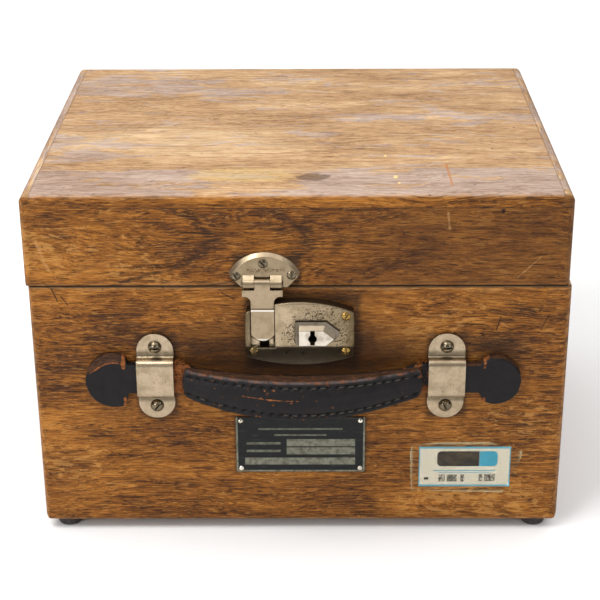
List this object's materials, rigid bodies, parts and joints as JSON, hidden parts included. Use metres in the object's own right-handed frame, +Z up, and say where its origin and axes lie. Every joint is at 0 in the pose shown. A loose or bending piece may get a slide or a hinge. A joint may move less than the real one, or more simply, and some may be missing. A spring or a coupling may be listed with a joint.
{
  "type": "instrument case",
  "caption": "Lidded wooden instrument case with back hinges, a hasp and sprung thumb lock, a stitched leather handle in metal loops, a nameplate and rubber feet.",
  "frame": {"origin": "on the ground under the feet, at the middle of the whole object's outline with its handle and hinges", "axes": "+Z up, +X to the right of someone facing the front, the front with the lock and handle looks along -Y"},
  "size_m": [0.2626, 0.2412, 0.1829],
  "materials": {
    "case_wood": "old oak under worn shellac varnish",
    "panel_wood": "oak with most of its varnish worn away",
    "inner_wood": "bare softwood and plywood",
    "foot_rubber": "moulded black rubber",
    "steel": "plain drawn steel",
    "nickel": "worn and pitted nickel plate",
    "nickel_dark": "tarnished nickel plate",
    "brass": "dull brass",
    "black_leather": "black finished leather, brown where worn",
    "raw_leather": "undyed strap leather",
    "filler": "jute cord and card filling",
    "enamel": "etched plate with a black enamelled ground",
    "paper": "printed paper",
    "film": "yellowed clear tape"
  },
  "bodies": {
    "base": {"base_front": "case_wood", "base_back": "case_wood", "base_left": "case_wood", "base_right": "case_wood", "base_bottom": "inner_wood", "ledge_strips": "inner_wood", "feet": "foot_rubber", "foot_screws": "steel", "nameplate": "enamel", "nameplate_pins": "nickel", "calibration_label": "paper", "label_tape": "film", "handle_loops": "nickel", "loop_screws": "nickel_dark", "lock_case": "nickel", "lock_back_plate": "steel", "lock_screws": "brass", "lock_spring": "steel", "hinge_base_leaves": "brass", "hinge_pins": "steel", "hinge_base_screws": "brass"},
    "lid": {"lid_front": "case_wood", "lid_back": "case_wood", "lid_left": "case_wood", "lid_right": "case_wood", "lid_top": "panel_wood", "hinge_lid_leaves": "brass", "hinge_lid_screws": "brass", "hasp_plate": "nickel", "hasp_plate_screws": "nickel_dark", "hasp_pin": "steel"},
    "hasp": {"hasp_tongue": "nickel", "hasp_staple": "nickel_dark"},
    "thumb_slide": {"thumb_slide": "nickel", "catch_bolt": "steel"},
    "grip": {"grip_cover": "black_leather", "grip_filler": "filler", "grip_backing": "raw_leather"},
    "strap_left": {"strap_end_left": "black_leather"},
    "strap_right": {"strap_end_right": "black_leather"}
  },
  "joints": [
    {"name": "lid_hinge", "type": "hinge", "parent": "base", "child": "lid", "pos_m": [0.00065, 0.1181, 0.1363], "axis": [-1, 0, 0], "range_deg": [0, 180]},
    {"name": "hasp_hinge", "type": "hinge", "parent": "lid", "child": "hasp", "pos_m": [-0.01715, -0.1033, 0.1391], "axis": [-1, 0, 0], "range_deg": [0, 125]},
    {"name": "thumb_slide_travel", "type": "slide", "parent": "base", "child": "thumb_slide", "axis": [1, 0, 0], "range_m": [0, 0.0045], "stiffness_N_per_m": 500, "springref_m": -0.003, "deforming": ["lock_spring"]},
    {"name": "handle_pull", "type": "slide", "parent": "base", "child": "grip", "axis": [0, -1, 0], "range_m": [0, 0.018]},
    {"name": "left_end_slide", "type": "slide", "parent": "grip", "child": "strap_left", "axis": [0.4061, 0.9138, 0], "range_m": [0, 0.0197]},
    {"name": "right_end_slide", "type": "slide", "parent": "grip", "child": "strap_right", "axis": [-0.4061, 0.9138, 0], "range_m": [0, 0.0197]}
  ],
  "couplings": [
    {"joint": "left_end_slide", "follows": "handle_pull", "ratio": 1.0943},
    {"joint": "right_end_slide", "follows": "handle_pull", "ratio": 1.0943}
  ]
}
